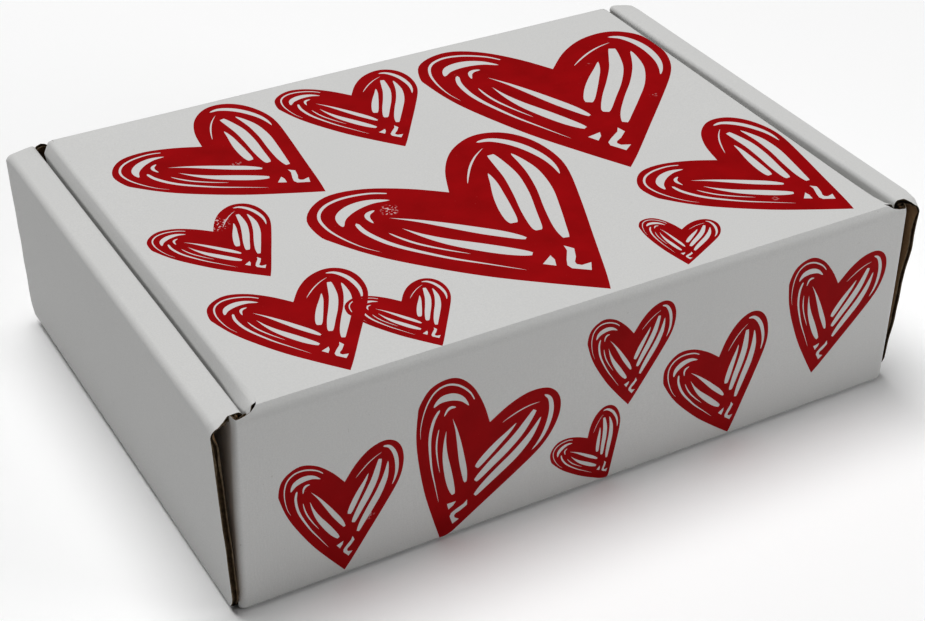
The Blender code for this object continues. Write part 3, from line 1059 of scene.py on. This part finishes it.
def add_node(tree, kind, values=(), links=(), **settings):
    """Adds a node. Values and links are (socket, value) and (socket, output) pairs."""
    node = tree.nodes.new(kind)
    for name, value in settings.items():
        setattr(node, name, value)
    for socket, value in values:
        node.inputs[socket].default_value = value
    for socket, output in links:
        tree.links.new(output, node.inputs[socket])
    return node


def start_material(name, roughness, specular):
    material = bpy.data.materials.new(name)
    material.use_nodes = True
    shader = material.node_tree.nodes["Principled BSDF"]
    shader.inputs["Roughness"].default_value = roughness
    shader.inputs["Specular IOR Level"].default_value = specular
    return material, material.node_tree, shader


def noise_factor(tree, place, scale, detail=3.0, low=0.3, high=0.7):
    """Noise at a place, stretched so that low becomes 0 and high becomes 1."""
    grain = add_node(tree, "ShaderNodeTexNoise",
                     values=[("Scale", scale), ("Detail", detail)], links=[("Vector", place)])
    return add_node(tree, "ShaderNodeMapRange",
                    values=[("From Min", low), ("From Max", high)],
                    links=[("Value", grain.outputs["Fac"])]).outputs["Result"]


def mixed(tree, factor, first, second):
    """Two colours mixed by a factor; each is a colour or another node's output."""
    mix = add_node(tree, "ShaderNodeMix", data_type="RGBA")
    tree.links.new(factor, mix.inputs[0])
    for socket, colour in ((6, first), (7, second)):
        if isinstance(colour, tuple):
            mix.inputs[socket].default_value = (*colour, 1.0)
        else:
            tree.links.new(colour, mix.inputs[socket])
    return mix.outputs[2]


def scaled_place(tree, place, scale):
    mapping = add_node(tree, "ShaderNodeMapping", links=[("Vector", place)])
    mapping.inputs["Scale"].default_value = scale
    return mapping.outputs["Vector"]


def coordinates(tree):
    """Where a point is on the object, and on the flat sheet."""
    coords = add_node(tree, "ShaderNodeTexCoord")
    return coords.outputs["Object"], coords.outputs["UV"]


def washboard(tree, place):
    """A wave across the flutes, from 0 to 1."""
    parts = add_node(tree, "ShaderNodeSeparateXYZ", links=[("Vector", place)])
    turns = add_node(tree, "ShaderNodeMath", operation="MULTIPLY",
                     links=[(0, parts.outputs["X"])])
    turns.inputs[1].default_value = 2 * math.pi / FLUTE_PITCH
    wave = add_node(tree, "ShaderNodeMath", operation="SINE", links=[(0, turns.outputs[0])])
    return wave.outputs[0]


def bump(tree, shader, height, distance, strength):
    node = add_node(tree, "ShaderNodeBump",
                    values=[("Strength", strength), ("Distance", distance)],
                    links=[("Height", height)])
    tree.links.new(node.outputs["Normal"], shader.inputs["Normal"])


def paper_height(tree, flat, fibres, wave_share):
    """The paper's surface: fine fibres over the board's faint washboard."""
    wave = add_node(tree, "ShaderNodeMath", operation="MULTIPLY", links=[(0, washboard(tree, flat))])
    wave.inputs[1].default_value = wave_share
    both = add_node(tree, "ShaderNodeMath", operation="ADD",
                    links=[(0, wave.outputs[0]), (1, fibres)])
    return both.outputs[0]


def paper_fibre(tree, flat):
    """Fine fibres, drawn out along the flutes."""
    return noise_factor(tree, scaled_place(tree, flat, (2.2, 0.5, 1.0)), scale=1.0, detail=4.0)


def liner_material():
    """White coated liner: faint mottling, grey scuffs and the washboard of the flutes."""
    material, tree, shader = start_material("white_liner", roughness=0.6, specular=0.2)
    place, flat = coordinates(tree)
    cloud = noise_factor(tree, place, scale=45.0)
    colour = mixed(tree, cloud, (0.615, 0.617, 0.612), (0.65, 0.65, 0.643))
    fibre = paper_fibre(tree, flat)
    colour = mixed(tree, fibre, colour, (0.64, 0.637, 0.625))
    grain = noise_factor(tree, place, scale=2600.0, detail=1.0)
    colour = mixed(tree, grain, colour, (0.60, 0.60, 0.592))
    specks = noise_factor(tree, place, scale=950.0, detail=1.0, low=0.78, high=0.86)
    colour = mixed(tree, specks, colour, (0.50, 0.49, 0.475))
    tree.links.new(colour, shader.inputs["Base Color"])
    bump(tree, shader, paper_height(tree, flat, fibre, 0.25), distance=0.00003, strength=0.35)
    return material


def ink_material():
    """Red ink printed on the liner: slightly uneven, with pale specks and small worn patches."""
    material, tree, shader = start_material("red_ink", roughness=0.6, specular=0.08)
    place, flat = coordinates(tree)
    cloud = noise_factor(tree, place, scale=120.0)
    colour = mixed(tree, cloud, (0.275, 0.0008, 0.0025), (0.33, 0.0015, 0.004))
    specks = noise_factor(tree, place, scale=1500.0, detail=2.0, low=0.74, high=0.80)
    colour = mixed(tree, specks, colour, (0.45, 0.06, 0.06))
    patch = noise_factor(tree, place, scale=55.0, detail=1.0, low=0.735, high=0.765)
    chips = noise_factor(tree, place, scale=1300.0, detail=2.0, low=0.56, high=0.60)
    worn = add_node(tree, "ShaderNodeMath", operation="MULTIPLY", links=[(0, patch), (1, chips)])
    colour = mixed(tree, worn.outputs[0], colour, (0.60, 0.42, 0.42))
    tree.links.new(colour, shader.inputs["Base Color"])
    fibre = paper_fibre(tree, flat)
    bump(tree, shader, paper_height(tree, flat, fibre, 0.25), distance=0.00003, strength=0.35)
    return material


def kraft_material():
    """Brown inner liner, with fibres and faint stripes over the flutes."""
    material, tree, shader = start_material("kraft_liner", roughness=0.8, specular=0.2)
    place, flat = coordinates(tree)
    cloud = noise_factor(tree, place, scale=60.0)
    colour = mixed(tree, cloud, (0.24, 0.15, 0.08), (0.29, 0.185, 0.10))
    fibre = noise_factor(tree, scaled_place(tree, flat, (3.0, 0.6, 1.0)), scale=1.0, detail=6.0)
    colour = mixed(tree, fibre, colour, (0.21, 0.13, 0.07))
    tree.links.new(colour, shader.inputs["Base Color"])
    bump(tree, shader, paper_height(tree, flat, fibre, 0.4), distance=0.00005, strength=0.5)
    return material


def rough_paper_painted_shade(name, dark, light):
    """Torn brown paper, as at the board's cut edges and between its liners, its brown darkened by painted
    shade.
    """
    material, tree, shader = start_material(name, roughness=0.95, specular=0.05)
    place, _ = coordinates(tree)
    cloud = noise_factor(tree, place, scale=900.0, detail=4.0)
    colour = mixed(tree, cloud, dark, light)
    tree.links.new(colour, shader.inputs["Base Color"])
    bump(tree, shader, cloud, distance=0.00006, strength=0.6)
    return material


def edge_material():
    # Painted shade: the cut liners' brown is darkened to stand in for the shade along the raw edges
    return rough_paper_painted_shade("cut_liner_painted_shade", (0.07, 0.053, 0.034), (0.165, 0.128, 0.086))


def core_material():
    # Painted shade: the fluting's brown is made nearly black to stand in for the shade in the hollow core
    return rough_paper_painted_shade("fluted_core_painted_shade", (0.045, 0.03, 0.017), (0.11, 0.075, 0.045))


def make_floor():
    mesh = bpy.data.meshes.new("floor")
    half = 6.0
    corners = [(-half, -half, 0), (half, -half, 0), (half, half, 0), (-half, half, 0)]
    mesh.from_pydata(corners, [], [(0, 1, 2, 3)])
    material, _, shader = start_material("floor_paper", roughness=0.9, specular=0.1)
    shader.inputs["Base Color"].default_value = (0.96, 0.96, 0.96, 1)
    mesh.materials.append(material)
    floor = bpy.data.objects.new("floor", mesh)
    bpy.context.scene.collection.objects.link(floor)


# Camera and lights, in metres and degrees. A light is its name, place, target, width and power.
CAMERA_PLACE = Vector((-0.215945, -0.369001, 0.304847))
CAMERA_TARGET = Vector((-0.009587, -0.020214, 0.028))
CAMERA_ROLL = 1.293
CAMERA_LENS = 73.852
SENSOR_WIDTH = 36
LIGHTS = [
    ("overhead", (-0.15, 0.42, 2.0), (0, 0, 0), 1.3, 34.0),
    ("front_right", (0.75, -0.75, 0.35), (0.1, 0, 0.02), 0.4, 2.4),
]
WORLD_STRENGTH = 0.06


def make_camera():
    data = bpy.data.cameras.new("camera")
    data.lens = CAMERA_LENS
    data.sensor_width = SENSOR_WIDTH
    data.clip_start = 0.01
    camera = bpy.data.objects.new("camera", data)
    look = (CAMERA_TARGET - CAMERA_PLACE).to_track_quat("-Z", "Y").to_matrix().to_4x4()
    turn = Matrix.Rotation(math.radians(CAMERA_ROLL), 4, "Z")
    camera.matrix_world = Matrix.Translation(CAMERA_PLACE) @ look @ turn
    bpy.context.scene.collection.objects.link(camera)
    bpy.context.scene.camera = camera


def add_light(name, place, target, size, power):
    data = bpy.data.lights.new(name, "AREA")
    data.shape = "SQUARE"
    data.size = size
    data.energy = power
    light = bpy.data.objects.new(name, data)
    light.location = place
    light.rotation_euler = (Vector(target) - Vector(place)).to_track_quat("-Z", "Y").to_euler()
    bpy.context.scene.collection.objects.link(light)


def make_lights():
    world = bpy.data.worlds.new("studio")
    world.use_nodes = True
    background = world.node_tree.nodes["Background"]
    background.inputs["Color"].default_value = (1.0, 1.0, 1.0, 1.0)
    background.inputs["Strength"].default_value = WORLD_STRENGTH
    bpy.context.scene.world = world
    for light in LIGHTS:
        add_light(*light)
    bpy.context.scene.view_settings.view_transform = "Standard"
    bpy.context.scene.view_settings.look = "Medium High Contrast"


def main():
    noise.seed_set(WAVE_SEED)
    materials = [liner_material(), ink_material(), kraft_material(), edge_material(),
                 core_material()]
    make_tray(materials)
    make_lid(materials)
    make_tuck_flap(materials)
    make_creases(materials)
    make_floor()
    make_camera()
    make_lights()


main()
